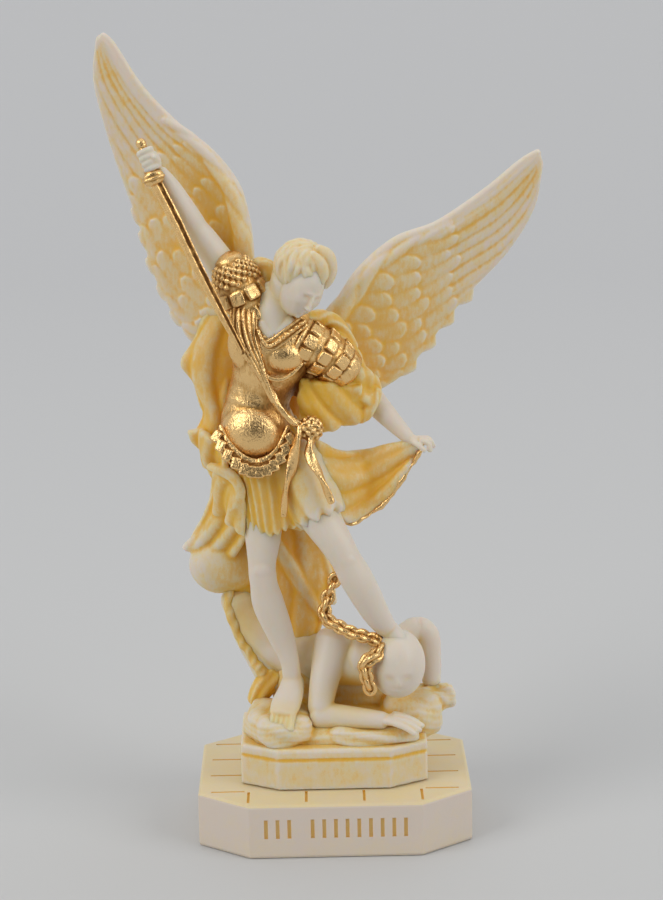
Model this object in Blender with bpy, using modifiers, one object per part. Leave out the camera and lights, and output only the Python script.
"""Winged warrior angel standing on a fallen figure, cast with its stepped plinth, on a scored base block.

The figure's pose and carving are shares of its own height: x to the right as the viewer sees it,
y to the back and z up from the top of the step, all in hundredths of FIGURE_HEIGHT.
"""

import math

import bmesh
import bpy
import numpy as np

# Base block
BASE_WIDTH = 0.0500
BASE_DEPTH = 0.0384
BASE_HEIGHT = 0.0102
BASE_CORNER_ACROSS = 0.0094
BASE_CORNER_BACK = 0.0068
EDGE_ROUND = 0.0006

# Step cast with the figure
STEP_WIDTH = 0.0342
STEP_DEPTH = 0.0246
STEP_HEIGHT = 0.0076
STEP_CORNER_ACROSS = 0.0068
STEP_CORNER_BACK = 0.0038
STEP_GROOVE_DROP = 0.0017
STEP_GROOVE_WIDTH = 0.0005
STEP_GROOVE_DEPTH = 0.0004
GLUE_GAP = 0.0003

# Scored joints of the base block's top
SCORE_WIDTH = 0.0005
SCORE_DEPTH = 0.0003
SIDE_SCORE_PITCH = 0.0080
FRONT_SCORE_PITCH = 0.0105
SCORE_EDGE = 0.0018

# Strokes on the base block's face, in two groups
STROKE_HEIGHT = 0.0036
STROKE_WIDTH = 0.0007
STROKE_DEPTH = 0.0003
STROKE_PITCH = 0.0021
STROKE_GROUPS = (3, 9)

# Figure
FIGURE_HEIGHT = 0.1285
FIGURE_ROOT = 0.0020
FUSE_VOXEL = 0.00055
FIGURE_FACETS = 8800

STEP_TOP = BASE_HEIGHT + GLUE_GAP + STEP_HEIGHT
SHARE = FIGURE_HEIGHT / 100.0

for old in list(bpy.data.objects):
    bpy.data.objects.remove(old, do_unlink=True)

statue = bpy.data.collections.new("angel_statue")
cutters = bpy.data.collections.new("cutters")
forms = bpy.data.collections.new("forms")
for group in (statue, cutters, forms):
    bpy.context.scene.collection.children.link(group)


# Shaping

def smooth_path(values, count):
    """A Catmull-Rom curve through the rows of values, read at count even steps."""
    values = np.asarray(values, float)
    ends = np.concatenate([2 * values[:1] - values[1:2], values, 2 * values[-1:] - values[-2:-1]])
    t = np.linspace(0, len(values) - 1, count)
    i = np.minimum(t.astype(int), len(values) - 2)
    f = (t - i).reshape((-1,) + (1,) * (values.ndim - 1))
    a, b, c, d = ends[i], ends[i + 1], ends[i + 2], ends[i + 3]
    return 0.5 * (2 * b + (c - a) * f + (2 * a - 5 * b + 4 * c - d) * f**2 + (3 * b - a - 3 * c + d) * f**3)


def unit(vectors):
    """The vectors at length one."""
    return vectors / np.maximum(np.linalg.norm(vectors, axis=-1, keepdims=True), 1e-9)


def closed_mesh(name, rings):
    """A closed mesh from rings of points in metres, rows by around, with a fan at each end."""
    rows, around, _ = rings.shape
    points = np.concatenate([rings.reshape(-1, 3), rings[[0, -1]].mean(axis=1)])
    faces = []
    for i in range(rows - 1):
        for j in range(around):
            k = (j + 1) % around
            faces.append((i * around + j, i * around + k, (i + 1) * around + k, (i + 1) * around + j))
    low, high = rows * around, rows * around + 1
    for j in range(around):
        k = (j + 1) % around
        faces.append((low, k, j))
        faces.append((high, (rows - 1) * around + j, (rows - 1) * around + k))
    mesh = bpy.data.meshes.new(name)
    mesh.from_pydata([tuple(p) for p in points], [], faces)
    shaped = bmesh.new()
    shaped.from_mesh(mesh)
    bmesh.ops.recalc_face_normals(shaped, faces=shaped.faces)
    shaped.to_mesh(mesh)
    shaped.free()
    return mesh


def form(name, rings):
    """One closed form of the figure, from rings in shares, kept with the forms that are fused."""
    rings = np.asarray(rings, float) * SHARE
    rings[..., 2] += STEP_TOP
    obj = bpy.data.objects.new(name, closed_mesh(name, rings))
    forms.objects.link(obj)
    return obj


def loft(name, stations, wide_along=(1, 0, 0), around=16, steps=5, fold=None):
    """A limb or trunk: each station is x, y, z, half width, half depth.

    The width lies along wide_along as near as the path allows. fold(s, angle) scales the section.
    """
    rows = (len(stations) - 1) * steps + 1
    track = smooth_path(stations, rows)
    centre = track[:, :3]
    along = unit(np.gradient(centre, axis=0))
    wide_along = np.asarray(wide_along, float)
    wide = unit(wide_along - along * (along @ wide_along)[:, None])
    deep = np.cross(along, wide)
    angle = np.linspace(0, 2 * math.pi, around, endpoint=False)
    s = np.linspace(0, 1, rows)
    size = np.ones((rows, around)) if fold is None else fold(s[:, None], angle[None, :])
    across = (np.cos(angle)[None, :] * size * track[:, 3:4])[..., None] * wide[:, None, :]
    back = (np.sin(angle)[None, :] * size * track[:, 4:5])[..., None] * deep[:, None, :]
    rings = centre[:, None, :] + across + back
    start = centre[:1, None] + (rings[:1] - centre[:1, None]) * 0.6 - along[0] * 0.5 * min(track[0, 3:5])
    end = centre[-1:, None] + (rings[-1:] - centre[-1:, None]) * 0.6 + along[-1] * 0.5 * min(track[-1, 3:5])
    return form(name, np.concatenate([start, rings, end]))


def limb(name, stations, **options):
    """A loft of round sections: each station is x, y, z, radius."""
    return loft(name, [(x, y, z, r, r) for x, y, z, r in stations], **options)


def ball(name, centre, radii, axes=((1, 0, 0), (0, 1, 0), (0, 0, 1)), bumps=None, around=24, rows=14):
    """An ellipsoid about three axes. bumps(point) scales the radius by its unit-sphere point."""
    rise = np.linspace(-0.97, 0.97, rows)[:, None] * math.pi / 2
    turn = np.linspace(0, 2 * math.pi, around, endpoint=False)[None, :]
    flat = np.cos(rise)
    point = np.stack([flat * np.cos(turn), flat * np.sin(turn), np.sin(rise) + 0 * turn], axis=-1)
    size = 1.0 if bumps is None else bumps(point)[..., None]
    return form(name, np.asarray(centre, float) + (point * size * np.asarray(radii, float)) @ np.asarray(axes, float))


def sheet(name, rows, thick, fold=None, fine=(26, 26)):
    """Cloth or feathers: rows of control points made one surface, waved by fold(s, t), thickened by thick(s, t)."""
    down = smooth_path(rows, fine[0])
    surface = smooth_path(down.swapaxes(0, 1), fine[1]).swapaxes(0, 1)
    s, t = np.meshgrid(np.linspace(0, 1, fine[0]), np.linspace(0, 1, fine[1]), indexing="ij")
    normal = unit(np.cross(np.gradient(surface, axis=0), np.gradient(surface, axis=1)))
    if fold is not None:
        surface = surface + normal * fold(s, t)[..., None]
        normal = unit(np.cross(np.gradient(surface, axis=0), np.gradient(surface, axis=1)))
    half = (thick(s, t) if callable(thick) else thick + 0 * s)[..., None] / 2
    return form(name, np.concatenate([surface + normal * half, (surface - normal * half)[:, ::-1]], axis=1))


def waves(count, height, start=0.0, power=1.0):
    """A fold that runs down a sheet: count waves across it, growing with the way down."""
    return lambda s, t: height * (start + (1 - start) * s**power) * np.cos(2 * math.pi * count * t)


def stone(point):
    """Broken facets for rock."""
    x, y, z = point[..., 0], point[..., 1], point[..., 2]
    return 1 + 0.07 * np.sin(5 * x + 2 * z) * np.cos(6 * y - z) + 0.05 * np.sin(11 * z + 4 * x)


# Armoured trunk, leaning to the viewer's left with the right shoulder high

loft("trunk", [
    (-9.8, 0.5, 42.0, 5.2, 4.4), (-9.8, 0.0, 44.5, 5.4, 4.6), (-9.9, -0.4, 47.2, 5.1, 4.6),
    (-9.7, -0.3, 49.4, 4.4, 3.9), (-8.9, -0.5, 51.6, 4.6, 3.9), (-7.9, -0.8, 54.2, 5.7, 4.4),
    (-7.2, -0.9, 57.5, 6.4, 4.6), (-7.0, -0.6, 60.5, 5.6, 4.0), (-7.2, -0.2, 62.8, 3.8, 3.0)], around=28)
limb("shoulders", [(-12.2, 0.3, 64.6, 3.0), (-6.8, -0.3, 60.4, 3.9), (-0.6, 0.3, 55.6, 3.0)])
ball("chest_right", (-9.6, -3.9, 58.4), (3.2, 1.7, 2.6))
ball("chest_left", (-4.8, -4.0, 56.3), (3.0, 1.7, 2.6))
ball("belly", (-10.3, -3.4, 47.0), (3.8, 2.5, 3.2))


def tabs(count, height):
    """Square tabs along a band: raised in its lower part, with gaps between them."""
    return lambda s, t: height * (s > 0.35) * (np.cos(2 * math.pi * count * t) > -0.4)


sheet("armour_band", [
    [(-14.6, -2.6, 46.2), (-13.4, -4.6, 44.6), (-11.0, -5.9, 43.3), (-8.4, -5.9, 43.4), (-6.2, -4.8, 44.6),
     (-4.4, -3.2, 46.0)],
    [(-15.2, -3.2, 45.2), (-13.9, -5.2, 43.2), (-11.3, -6.4, 41.7), (-8.8, -6.4, 41.6), (-6.3, -5.3, 42.8),
     (-4.2, -3.6, 44.3)],
    [(-15.5, -3.4, 44.4), (-14.4, -5.5, 42.0), (-11.8, -6.8, 40.0), (-9.2, -6.8, 39.8), (-6.4, -5.7, 40.9),
     (-4.0, -4.0, 42.8)]], 1.9, fold=tabs(11, 0.45), fine=(16, 56))


def plates(rows, tabs_around):
    """Rows of tabs around a shoulder piece."""
    return lambda s, a: 1 + 0.07 * np.sign(np.sin(2 * math.pi * rows * s)) * (np.sin(tabs_around * a) > -0.5)


loft("shoulder_piece_right", [
    (-10.0, -0.6, 61.0, 2.7, 3.4), (-11.2, -0.8, 63.4, 3.4, 3.9), (-12.3, -0.8, 66.0, 3.2, 3.7),
    (-13.2, -0.6, 68.4, 2.4, 2.8)], around=36, steps=7, fold=plates(3, 12))
loft("shoulder_piece_left", [
    (-3.6, -1.4, 57.4, 3.1, 3.6), (-1.2, -1.8, 56.2, 3.7, 4.1), (1.4, -1.6, 54.4, 3.6, 3.9),
    (3.2, -1.0, 52.6, 2.8, 3.1)], wide_along=(0.6, 0, 0.8), around=36, steps=7, fold=plates(3, 12))
loft("sash", [
    (-8.3, -2.6, 63.0, 1.7, 0.9), (-9.3, -4.4, 61.0, 1.9, 0.9), (-8.9, -5.6, 58.0, 1.7, 0.9),
    (-7.3, -5.5, 54.6, 1.4, 0.9), (-6.0, -4.8, 51.0, 1.2, 0.9), (-4.4, -4.8, 47.7, 1.1, 0.9),
    (-2.7, -5.2, 46.1, 1.0, 0.9)])
ball("sash_knot", (-2.3, -5.4, 45.6), (1.6, 1.3, 1.6))
limb("ribbon_long", [(-3.6, -5.7, 46.0, 0.6), (-4.4, -6.2, 43.3, 0.5), (-5.3, -6.3, 39.7, 0.5),
                     (-6.1, -6.3, 36.9, 0.5), (-6.4, -6.4, 33.6, 0.5)], around=8)
limb("ribbon_short", [(-2.3, -5.9, 44.5, 0.6), (-2.5, -6.6, 42.4, 0.5), (-1.2, -7.8, 39.6, 0.5),
                      (0.3, -8.6, 36.0, 0.5)], around=8)

# Neck and bowed head

limb("neck", [(-7.2, -0.3, 60.5, 3.1), (-5.9, -1.1, 62.9, 2.8), (-4.6, -2.4, 65.6, 3.0)])

HEAD = np.array([-3.1, -3.8, 66.6])
GAZE = unit(np.array([0.36, -0.80, -0.48]))
CROWN = unit(np.array([0.44, -0.25, 0.86]) - GAZE * (np.array([0.44, -0.25, 0.86]) @ GAZE))
CHEEK = np.cross(CROWN, GAZE)
HEAD_AXES = np.stack([CHEEK, GAZE, CROWN])


def on_head(side, ahead, up):
    """A point given from the middle of the head: to its left, along its gaze and to its crown."""
    return HEAD + CHEEK * side + GAZE * ahead + CROWN * up


def curls(point):
    """Waves of hair combed back from the brow."""
    x, y, z = point[..., 0], point[..., 1], point[..., 2]
    return 1 + 0.055 * np.sin(9 * x + 5 * np.sin(3 * y) + 2 * z)


ball("skull", on_head(0, -0.5, 0.4), (3.3, 4.0, 3.8), HEAD_AXES)
ball("face", on_head(0, 1.5, -1.5), (2.8, 2.9, 3.9), HEAD_AXES)
ball("chin", on_head(0, 3.3, -4.3), (1.2, 1.0, 0.9), HEAD_AXES)
limb("nose", [(*on_head(0, 3.9, 0.4), 0.45), (*on_head(0, 4.6, -0.5), 0.5), (*on_head(0, 4.9, -1.4), 0.65)])
ball("brow", on_head(0, 3.2, 0.9), (2.3, 1.0, 0.7), HEAD_AXES)
ball("lips", on_head(0, 4.0, -2.8), (1.1, 0.55, 0.55), HEAD_AXES)
ball("hair", on_head(0, -1.0, 0.7), (3.9, 4.1, 3.9), HEAD_AXES, bumps=curls, around=40, rows=22)
limb("hair_left", [(*on_head(2.4, 2.1, 2.4), 1.0), (*on_head(3.3, 1.0, 0.2), 1.2), (*on_head(3.2, -0.4, -2.4), 1.1)])
limb("hair_right", [(*on_head(-2.4, 2.1, 2.4), 1.0), (*on_head(-3.3, 1.0, 0.2), 1.2), (*on_head(-3.3, -0.6, -2.6), 1.2)])
limb("hair_brow", [(*on_head(-2.4, 2.2, 2.6), 0.9), (*on_head(0, 2.7, 3.0), 1.0), (*on_head(2.4, 2.2, 2.6), 0.9)])
limb("hair_nape", [(*on_head(-3.4, -2.6, -2.2), 1.5), (*on_head(0, -3.9, -2.4), 1.7), (*on_head(3.4, -2.4, -2.0), 1.4)])

# Raised right arm with the sword

limb("arm_right", [
    (-12.2, 0.4, 64.6, 2.9), (-14.8, 0.3, 68.0, 2.3), (-17.2, 0.3, 71.8, 2.0), (-18.7, 0.1, 74.6, 1.7),
    (-20.6, -0.1, 78.3, 1.35), (-22.2, -0.4, 80.8, 1.0)])
ball("fist_right", (-23.4, -0.6, 82.6), (1.5, 1.4, 1.9), axes=((0.87, 0, 0.5), (0, 1, 0), (-0.5, 0, 0.87)))
loft("grip", [(-24.5, -0.8, 84.6, 0.75, 0.75), (-22.6, -1.5, 80.4, 0.65, 0.65)], around=10)
ball("pommel", (-24.5, -0.8, 84.8), (0.95, 0.95, 0.8))
limb("guard", [(-24.4, -1.4, 80.3, 0.6), (-22.8, -1.6, 80.9, 0.7), (-21.2, -1.6, 81.6, 0.6)], around=10)
loft("blade", [
    (-22.7, -1.6, 80.6, 0.95, 0.6), (-19.7, -2.9, 74.6, 0.9, 0.6), (-16.8, -4.5, 68.4, 0.8, 0.6),
    (-13.8, -6.1, 62.3, 0.7, 0.6), (-11.1, -7.3, 56.9, 0.45, 0.5)], around=4, steps=2)

# Left arm, its sleeve and the mantle that it holds out

limb("arm_left", [
    (-0.1, 0.5, 55.4, 2.8), (3.2, 1.2, 51.8, 2.2), (6.3, 1.5, 48.1, 1.8), (8.9, 0.1, 45.4, 1.45),
    (11.3, -1.5, 43.1, 1.0)])
ball("hand_left", (12.4, -2.0, 42.4), (1.6, 1.1, 1.1))
limb("sleeve", [(0.0, 0.6, 55.0, 3.4), (2.6, 0.6, 51.4, 3.5), (5.0, 0.9, 48.6, 2.7)], around=24,
     fold=lambda s, a: 1 + 0.07 * np.sin(7 * a + 6 * s))
limb("cuff", [(6.9, 0.0, 49.6, 0.8), (6.4, -0.9, 48.2, 0.9), (5.2, -1.2, 46.4, 0.8), (4.4, -0.6, 45.8, 0.7)])
sheet("sleeve_fall", [
    [(-3.8, -2.4, 52.2), (0.0, -3.0, 51.8), (4.6, -2.0, 51.0)],
    [(-3.9, -2.8, 48.6), (-0.2, -3.0, 48.2), (4.9, -1.3, 47.6)],
    [(-3.2, -2.8, 45.0), (0.2, -2.4, 44.8), (4.0, -0.8, 45.6)]], 2.2, fold=waves(3, 0.4, 0.5))
limb("collar_left", [(-2.6, -1.2, 60.4, 1.3), (0.0, 0.4, 60.2, 1.5), (2.0, 1.2, 58.4, 1.5), (3.4, 1.2, 55.8, 1.2)])
limb("collar_right", [(-9.4, 1.6, 67.4, 1.3), (-7.9, 1.4, 66.6, 1.5), (-8.0, 0.8, 64.2, 1.6), (-8.6, -0.4, 62.6, 1.3)])
sheet("held_mantle", [
    [(-1.8, -3.2, 43.6), (1.2, -1.2, 41.6), (4.5, -0.2, 41.2), (8.0, -0.8, 42.0), (13.3, -2.0, 43.0)],
    [(-1.0, -4.5, 39.8), (2.0, -3.2, 37.8), (5.2, -1.2, 37.0), (8.4, -1.6, 38.0), (12.4, -2.0, 40.9)],
    [(0.4, -5.0, 34.8), (2.0, -3.8, 31.6), (5.3, -2.0, 32.4), (8.0, -2.0, 34.4), (10.7, -2.0, 38.0)]],
      1.5, fold=waves(2.2, 0.75, 0.4))

# Skirt and legs

loft("skirt", [
    (-9.4, 0.3, 45.0, 5.2, 4.6), (-8.6, 0.2, 41.5, 6.0, 5.3), (-7.5, 0.2, 36.5, 6.6, 5.6),
    (-6.9, 0.4, 31.2, 6.6, 5.6)], around=84, steps=5, fold=lambda s, a: 1 + (0.03 + 0.07 * s) * np.cos(14 * a))
limb("thigh_cloth", [(-5.4, -1.2, 41.0, 4.6), (-3.0, -3.3, 37.0, 4.3), (-1.3, -4.7, 33.2, 3.7)], around=48,
     fold=lambda s, a: 1 + (0.03 + 0.05 * s) * np.cos(9 * a + 2 * s))
limb("leg_right", [
    (-9.4, -1.0, 34.0, 3.2), (-9.5, -2.3, 29.0, 2.5), (-9.7, -2.9, 25.6, 1.95), (-9.6, -3.0, 23.4, 2.0),
    (-9.0, -2.4, 19.6, 2.25), (-7.5, -2.1, 15.2, 1.95), (-6.2, -2.2, 11.2, 1.4), (-5.8, -2.2, 8.2, 1.3)])
limb("foot_right", [(-5.7, -2.0, 7.0, 1.7), (-6.2, -3.9, 6.0, 1.6), (-6.9, -6.0, 5.0, 1.2), (-7.3, -7.2, 4.6, 0.9)])
limb("leg_left", [
    (-3.3, -2.6, 36.0, 3.5), (-1.0, -5.0, 32.2, 2.8), (1.5, -6.6, 28.3, 2.25), (3.8, -6.7, 23.8, 2.3),
    (6.1, -6.1, 19.2, 1.95), (7.6, -5.3, 16.6, 1.6)])
limb("foot_left", [(7.9, -4.6, 15.8, 1.7), (9.3, -5.3, 15.0, 1.5), (10.8, -6.4, 14.1, 1.1)])

# Mantle behind the figure, its ruffles and falls

sheet("mantle_back", [
    [(-16.4, 5.0, 60.5), (-14.0, 4.8, 61.5), (-9.0, 3.6, 62.0), (-3.0, 3.2, 60.0)],
    [(-19.7, 5.0, 55.0), (-16.4, 2.8, 55.8), (-10.0, 3.6, 55.5), (-2.6, 3.6, 54.0)],
    [(-19.8, 4.8, 51.8), (-16.8, 2.2, 51.0), (-11.0, 3.8, 49.5), (-3.6, 3.8, 47.6)],
    [(-17.4, 4.0, 47.4), (-15.6, 1.8, 46.2), (-11.0, 4.2, 44.0), (-3.6, 4.4, 42.0)],
    [(-18.6, 3.0, 43.6), (-15.6, 1.6, 41.6), (-11.0, 5.0, 38.6), (-3.0, 5.2, 37.0)],
    [(-16.6, 3.4, 38.0), (-14.2, 3.2, 36.0), (-10.0, 5.2, 33.6), (-2.0, 5.2, 32.0)],
    [(-18.0, 5.6, 27.4), (-11.6, 5.0, 28.4), (-6.0, 4.6, 28.4), (-0.4, 4.4, 27.0)],
    [(-18.0, 5.8, 21.8), (-11.0, 4.4, 22.2), (-5.4, 3.0, 22.2), (0.8, 4.0, 22.4)],
    [(-15.0, 6.2, 17.2), (-10.0, 4.8, 16.4), (-5.6, 3.2, 15.8), (-0.2, 3.8, 17.2)],
    [(-12.0, 6.4, 11.6), (-9.0, 5.2, 10.8), (-5.8, 3.8, 10.0), (-2.6, 3.6, 10.8)]],
      2.5, fold=waves(3.5, 0.6, 0.5), fine=(64, 34))
sheet("ruffle_upper", [
    [(-19.7, 3.0, 43.9), (-17.2, 0.2, 44.4), (-14.6, -2.6, 42.6)],
    [(-18.7, 3.2, 41.2), (-16.6, 0.4, 41.0), (-13.8, -3.0, 39.9)],
    [(-17.5, 3.2, 38.6), (-15.6, 1.0, 38.2), (-12.9, -3.0, 37.4)]], 1.7, fold=waves(1.8, 0.8, 0.7))
sheet("ruffle_lower", [
    [(-17.2, 1.6, 38.2), (-14.2, -2.6, 38.9), (-11.8, -4.2, 36.9)],
    [(-16.4, 2.0, 35.6), (-14.4, -1.8, 35.6), (-11.9, -4.2, 33.8)],
    [(-15.4, 2.4, 32.2), (-14.0, -1.0, 31.4), (-12.3, -3.6, 29.8)]], 1.7, fold=waves(1.6, 0.7, 0.7))
sheet("side_fall", [
    [(-15.6, 2.2, 37.2), (-13.4, 0.0, 36.0), (-11.0, -1.0, 35.0)],
    [(-17.6, 3.6, 32.0), (-14.4, 1.2, 31.0), (-11.4, 0.2, 30.2)],
    [(-19.6, 4.8, 28.2), (-16.2, 3.0, 27.6), (-12.6, 1.6, 26.8)],
    [(-21.4, 5.6, 25.6), (-18.4, 5.0, 24.8), (-14.6, 4.2, 24.0)]], 2.0, fold=waves(3, 0.5, 0.6))
ball("pouch", (-16.0, 5.4, 22.6), (4.5, 3.4, 4.2), bumps=lambda p: 1 + 0.05 * np.sin(7 * p[..., 0] + 4 * p[..., 2]))

# Wings, each a sheet from its leading edge at the first column to its trailing edge at the last


def feathers(layers, quills, height):
    """Rows of overlapping feathers: steps across the wing at each layer, quills that cut them."""
    def relief(s, t):
        depth = t * layers + 0.12 * np.cos(2 * math.pi * quills * s)
        step = 1 - (depth - np.floor(depth))
        return height * (step - 0.5 + 0.35 * np.abs(np.sin(math.pi * quills * s)))
    return relief


def thinning(root, edge, tip):
    """Thickness of a wing: root at the shoulder's leading edge, edge along the trailing edge, tip at the end."""
    return lambda s, t: (root * (1 - s) + tip * s) * (1 - t) ** 1.5 + edge * (1 - (1 - t) ** 1.5)


WING_LEFT = [
    ((-2.2, 3.4, 56.6), (-0.8, 3.6, 52.6), (2.0, 4.4, 48.8)), ((1.6, 3.8, 60.8), (4.2, 4.6, 54.6), (6.6, 6.0, 48.3)),
    ((5.0, 4.6, 65.6), (8.6, 5.6, 58.2), (11.0, 7.0, 50.6)), ((10.1, 5.6, 69.8), (13.4, 7.0, 62.6), (15.6, 8.0, 55.9)),
    ((16.1, 6.8, 71.9), (18.6, 8.0, 66.8), (20.0, 8.8, 61.2)), ((22.9, 8.0, 76.2), (24.8, 9.0, 71.4), (26.0, 9.4, 67.3)),
    ((28.0, 8.8, 80.2), (29.0, 9.4, 77.0), (29.9, 9.6, 73.6)), ((30.4, 9.0, 81.6), (30.8, 9.2, 81.0), (31.1, 9.4, 79.8))]
WING_RIGHT = [
    ((-10.4, 3.2, 63.6), (-13.6, 3.6, 59.0), (-17.0, 5.4, 55.6)), ((-10.6, 3.0, 68.2), (-15.6, 4.8, 62.4), (-20.7, 6.8, 58.4)),
    ((-10.9, 3.0, 72.9), (-17.4, 5.6, 69.0), (-24.2, 8.0, 65.4)), ((-12.2, 3.6, 78.2), (-18.8, 6.0, 75.4), (-26.1, 8.4, 72.6)),
    ((-15.6, 4.4, 82.8), (-21.4, 6.4, 80.6), (-28.1, 8.4, 78.6)), ((-20.3, 5.4, 86.6), (-25.2, 6.8, 86.6), (-30.3, 8.2, 86.3)),
    ((-25.1, 6.2, 91.8), (-28.2, 7.2, 92.4), (-31.6, 7.8, 92.8)), ((-28.7, 6.8, 97.6), (-30.0, 7.2, 97.8), (-31.2, 7.4, 97.2)),
    ((-30.0, 7.0, 99.0), (-30.4, 7.2, 99.1), (-30.9, 7.2, 98.8))]
sheet("wing_left", WING_LEFT, thinning(3.4, 1.3, 1.4), fold=feathers(3.0, 12, 0.55), fine=(72, 30))
sheet("wing_right", WING_RIGHT, thinning(3.4, 1.3, 1.4), fold=feathers(3.0, 14, 0.55), fine=(80, 30))
limb("wing_arm_left", [(-4.4, 2.6, 57.0, 2.6), (-1.0, 3.0, 57.6, 2.0), (3.0, 3.8, 61.6, 1.6), (6.9, 4.8, 66.2, 1.3),
                       (12.0, 5.9, 69.4, 1.1), (18.0, 7.2, 72.0, 0.9)])
limb("wing_arm_right", [(-9.4, 2.2, 62.6, 2.4), (-10.9, 2.4, 66.6, 1.6), (-11.4, 2.4, 72.0, 1.4), (-13.0, 3.2, 78.0, 1.2),
                        (-17.0, 4.4, 83.6, 1.0), (-21.6, 5.4, 87.4, 0.8)])

# Fallen figure under the feet

ball("fallen_head", (9.2, -4.8, 11.0), (4.0, 4.3, 5.1), bumps=lambda p: 1 + 0.02 * np.sin(4 * p[..., 0] + 3 * p[..., 2]))
limb("fallen_neck", [(8.4, -2.4, 11.0, 2.6), (4.4, -0.6, 11.0, 3.2)])
loft("fallen_trunk", [
    (6.0, 0.0, 9.6, 3.4, 3.6), (1.6, 1.6, 9.8, 4.0, 4.4), (-3.0, 3.6, 9.4, 3.6, 4.0), (-7.6, 5.2, 10.6, 3.3, 3.6),
    (-10.8, 6.0, 13.4, 3.2, 3.4), (-12.8, 6.2, 16.4, 2.9, 3.0)], wide_along=(0, 0, 1), around=20)
limb("fallen_arm_left", [(0.4, -0.2, 12.9, 2.9), (-0.4, -1.4, 10.6, 2.5), (-1.2, -3.0, 8.0, 2.1), (-1.9, -4.6, 4.4, 1.8)])
limb("fallen_forearm_left", [(-2.1, -4.8, 3.4, 1.9), (2.4, -5.8, 3.4, 1.6), (7.0, -6.8, 3.2, 1.2)])
ball("fallen_hand_left", (9.2, -7.3, 3.3), (2.4, 1.6, 1.0))
limb("fallen_arm_right", [
    (9.0, 2.0, 11.0, 2.0), (12.0, 2.8, 13.6, 1.7), (13.9, 3.0, 12.6, 1.7), (14.4, 2.9, 9.0, 1.5),
    (14.4, 2.4, 5.8, 1.4)])
ball("fallen_fist_right", (15.6, 1.5, 3.3), (2.4, 1.9, 1.9), bumps=lambda p: 1 + 0.08 * np.cos(14 * p[..., 0]))
limb("fallen_thigh", [(-13.4, 6.0, 18.0, 2.8), (-11.4, 6.0, 12.4, 2.9), (-9.8, 5.2, 8.4, 2.5), (-8.6, 4.2, 5.4, 2.2)])
limb("fallen_foot", [(-8.6, 3.6, 6.6, 1.7), (-10.2, 3.0, 4.9, 1.7), (-11.3, 2.4, 3.2, 1.3)])
limb("thigh_fringe", [(-15.2, 6.4, 19.0, 1.0), (-14.4, 6.6, 15.0, 1.1), (-13.2, 6.4, 11.4, 1.1), (-11.4, 5.8, 8.6, 1.0),
                      (-10.6, 4.6, 6.6, 1.0)], steps=12, fold=lambda s, a: 1 + 0.2 * np.cos(2 * math.pi * 9 * s))
limb("chain", [
    (0.6, -0.4, 23.4, 0.7), (-0.5, -1.0, 19.7, 0.7), (-0.7, -1.8, 17.3, 0.8), (0.9, -2.6, 16.0, 0.8),
    (2.9, -3.2, 15.2, 0.8), (5.2, -4.2, 14.9, 0.8), (6.8, -5.8, 14.4, 0.8), (6.0, -7.4, 13.0, 0.8),
    (4.9, -7.6, 12.2, 0.8), (5.1, -7.6, 10.2, 0.8), (5.6, -7.4, 8.0, 0.8)],
     steps=8, around=10, fold=lambda s, a: 1 + 0.22 * np.cos(2 * math.pi * 22 * s))

# Rock over the step

ball("rock_bed", (0.0, 0.8, -0.2), (12.9, 8.6, 3.0), bumps=stone, around=40)
ball("rock_back", (0.5, 4.2, 5.0), (9.0, 4.6, 5.4), bumps=stone, around=32)
ball("rock_left", (-8.2, -2.0, 2.0), (5.4, 5.6, 2.5), bumps=stone)
ball("rock_foot", (-6.9, -4.6, 2.4), (3.4, 4.0, 2.3), bumps=stone)
ball("rock_front", (5.4, -5.4, 0.8), (7.0, 3.4, 1.7), bumps=stone)
ball("rock_right", (11.6, 1.2, 1.6), (4.6, 5.4, 3.8), bumps=stone)
ball("rock_side", (15.4, 1.6, 3.8), (2.8, 2.6, 1.8), bumps=stone)
ball("rock_root", (0.0, 0.0, -0.6), (12.2, 8.6, FIGURE_ROOT / SHARE))


# Fusing

def fuse(sources, name):
    """All forms made one closed skin, eased and thinned to FIGURE_FACETS triangles."""
    joined = bmesh.new()
    for source in sources:
        joined.from_mesh(source.data)
    mesh = bpy.data.meshes.new(name)
    joined.to_mesh(mesh)
    joined.free()
    obj = bpy.data.objects.new(name, mesh)
    cutters.objects.link(obj)
    skin = obj.modifiers.new("skin", "REMESH")
    skin.mode = "VOXEL"
    skin.voxel_size = FUSE_VOXEL
    settle(obj)
    keep_largest(obj.data)
    ease = obj.modifiers.new("ease", "SMOOTH")
    ease.factor = 0.4
    ease.iterations = 2
    settle(obj)
    obj.data.calc_loop_triangles()
    thin = obj.modifiers.new("thin", "DECIMATE")
    thin.ratio = FIGURE_FACETS / len(obj.data.loop_triangles)
    thin.use_collapse_triangulate = True
    settle(obj)
    return obj


def settle(obj):
    """Replaces the mesh by the result of the modifiers and clears them."""
    bpy.context.view_layer.update()
    result = bpy.data.meshes.new_from_object(obj.evaluated_get(bpy.context.evaluated_depsgraph_get()))
    obj.modifiers.clear()
    obj.data = result


def keep_largest(mesh):
    """Removes every separate shell but the one with the most corners."""
    shaped = bmesh.new()
    shaped.from_mesh(mesh)
    seen, largest = set(), []
    for start in shaped.verts:
        if start in seen:
            continue
        seen.add(start)
        shell, open_ends = [start], [start]
        while open_ends:
            for edge in open_ends.pop().link_edges:
                for corner in edge.verts:
                    if corner not in seen:
                        seen.add(corner)
                        shell.append(corner)
                        open_ends.append(corner)
        if len(shell) > len(largest):
            largest = shell
    largest = set(largest)
    bmesh.ops.delete(shaped, geom=[v for v in shaped.verts if v not in largest], context="VERTS")
    shaped.to_mesh(mesh)
    shaped.free()


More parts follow.
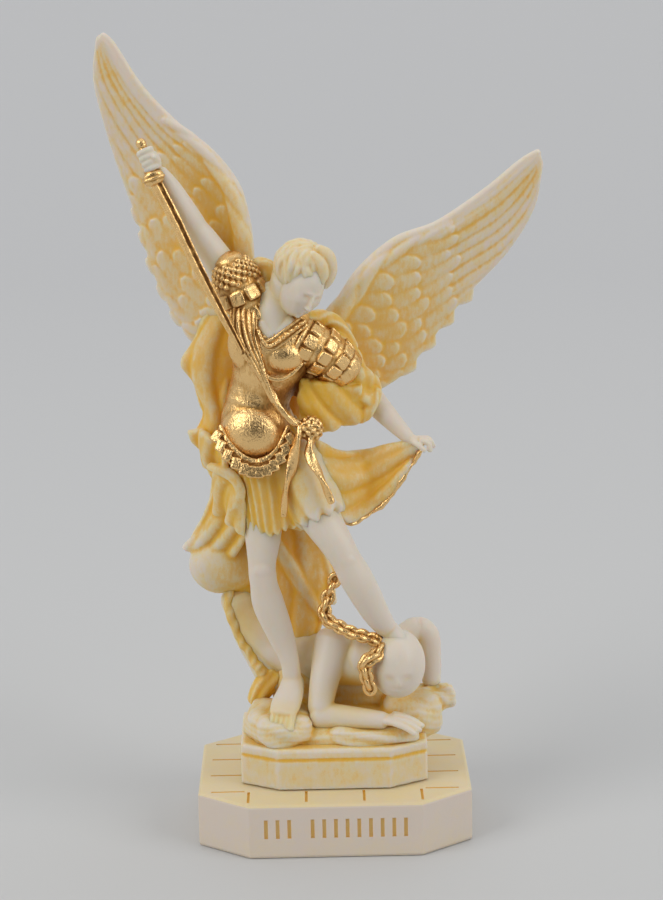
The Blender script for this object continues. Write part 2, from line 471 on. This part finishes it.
def octagon(width, depth, corner_across, corner_back, inset):
    """Corners of a rectangle with cut corners, all drawn in by inset."""
    x, y = width / 2 - inset, depth / 2 - inset
    across, back = corner_across - 0.5 * inset, corner_back - 0.5 * inset
    return [(x - across, -y), (x, -y + back), (x, y - back), (x - across, y),
            (-x + across, y), (-x, y - back), (-x, -y + back), (-x + across, -y)]


def block(name, outline, levels):
    """An octagonal block from its outline sizes and its levels of height and inset."""
    rings = np.array([[(x, y, height) for x, y in octagon(*outline, inset)] for height, inset in levels])
    obj = bpy.data.objects.new(name, closed_mesh(name, rings))
    statue.objects.link(obj)
    return obj


def rounded(top, sign):
    """Levels of a rounded edge that ends at top: sign 1 for an upper edge, -1 for a lower one."""
    turns = [0, 30, 60, 90] if sign > 0 else [90, 45, 0]
    return [(top - sign * EDGE_ROUND * (1 - math.sin(math.radians(a))), EDGE_ROUND * (1 - math.cos(math.radians(a))))
            for a in turns]


def cut(obj, name, boxes):
    """Cuts boxes, each a centre and three sizes, from an object."""
    shaped = bmesh.new()
    for centre, size in boxes:
        made = bmesh.ops.create_cube(shaped, size=1.0)["verts"]
        bmesh.ops.scale(shaped, vec=size, verts=made)
        bmesh.ops.translate(shaped, vec=centre, verts=made)
    mesh = bpy.data.meshes.new(name)
    shaped.to_mesh(mesh)
    shaped.free()
    cutter = bpy.data.objects.new(name, mesh)
    cutters.objects.link(cutter)
    hide(cutter)
    boolean(obj, cutter, "DIFFERENCE")


def hide(obj):
    """Marks a cutter so that it isn't rendered."""
    obj.hide_render = True
    obj.display_type = "WIRE"


def boolean(obj, other, operation):
    """Joins or cuts an object with another."""
    tool = obj.modifiers.new(other.name, "BOOLEAN")
    tool.object = other
    tool.operation = operation
    tool.solver = "EXACT"


def finish(obj, name, colour, roughness, smooth_angle):
    """A material of its own, and smooth shading up to an angle."""
    material = bpy.data.materials.new(name)
    material.use_nodes = True
    shader = material.node_tree.nodes["Principled BSDF"]
    shader.inputs["Base Color"].default_value = (*colour, 1.0)
    shader.inputs["Roughness"].default_value = roughness
    obj.data.materials.append(material)
    obj.data.shade_smooth()
    obj.data.set_sharp_from_angle(angle=math.radians(smooth_angle))


# Figure on its step

figure_form = fuse(forms.objects, "figure_form")
for source in list(forms.objects):
    bpy.data.objects.remove(source, do_unlink=True)
bpy.data.collections.remove(forms)
hide(figure_form)

foot = BASE_HEIGHT + GLUE_GAP
groove_top = STEP_TOP - STEP_GROOVE_DROP
groove_foot = groove_top - STEP_GROOVE_WIDTH
figure_group = block(
    "figure_group", (STEP_WIDTH, STEP_DEPTH, STEP_CORNER_ACROSS, STEP_CORNER_BACK),
    [(foot, 0.0), (groove_foot, 0.0), (groove_foot, STEP_GROOVE_DEPTH), (groove_top, STEP_GROOVE_DEPTH),
     (groove_top, 0.0), *rounded(STEP_TOP, 1)])
boolean(figure_group, figure_form, "UNION")
finish(figure_group, "ivory_resin", (0.72, 0.62, 0.46), 0.45, 40)

# Base block

base_plinth = block(
    "base_plinth", (BASE_WIDTH, BASE_DEPTH, BASE_CORNER_ACROSS, BASE_CORNER_BACK),
    [*rounded(0.0, -1), *rounded(BASE_HEIGHT, 1)])
step_side, step_front = STEP_WIDTH / 2, STEP_DEPTH / 2
edge_side, edge_front = BASE_WIDTH / 2 - SCORE_EDGE, BASE_DEPTH / 2 - SCORE_EDGE
scores = []
for place in (-1.5, -0.5, 0.5, 1.5):
    for side in (-1, 1):
        reach = (edge_side + step_side) / 2 - abs(place) * 0.0004
        scores.append(((side * reach, place * SIDE_SCORE_PITCH, BASE_HEIGHT),
                       (edge_side - step_side, SCORE_WIDTH, 2 * SCORE_DEPTH)))
        scores.append(((place * FRONT_SCORE_PITCH, side * (edge_front + step_front) / 2, BASE_HEIGHT),
                       (SCORE_WIDTH, edge_front - step_front, 2 * SCORE_DEPTH)))
cut(base_plinth, "score_cutter", scores)

strokes = []
place = -(sum(STROKE_GROUPS) + 1) / 2
for group in STROKE_GROUPS:
    for _ in range(group):
        strokes.append((((place + 0.5) * STROKE_PITCH, -BASE_DEPTH / 2, BASE_HEIGHT * 0.56),
                        (STROKE_WIDTH, 2 * STROKE_DEPTH, STROKE_HEIGHT)))
        place += 1
    place += 1
cut(base_plinth, "stroke_cutter", strokes)
finish(base_plinth, "ivory_resin_base", (0.80, 0.74, 0.64), 0.45, 40)
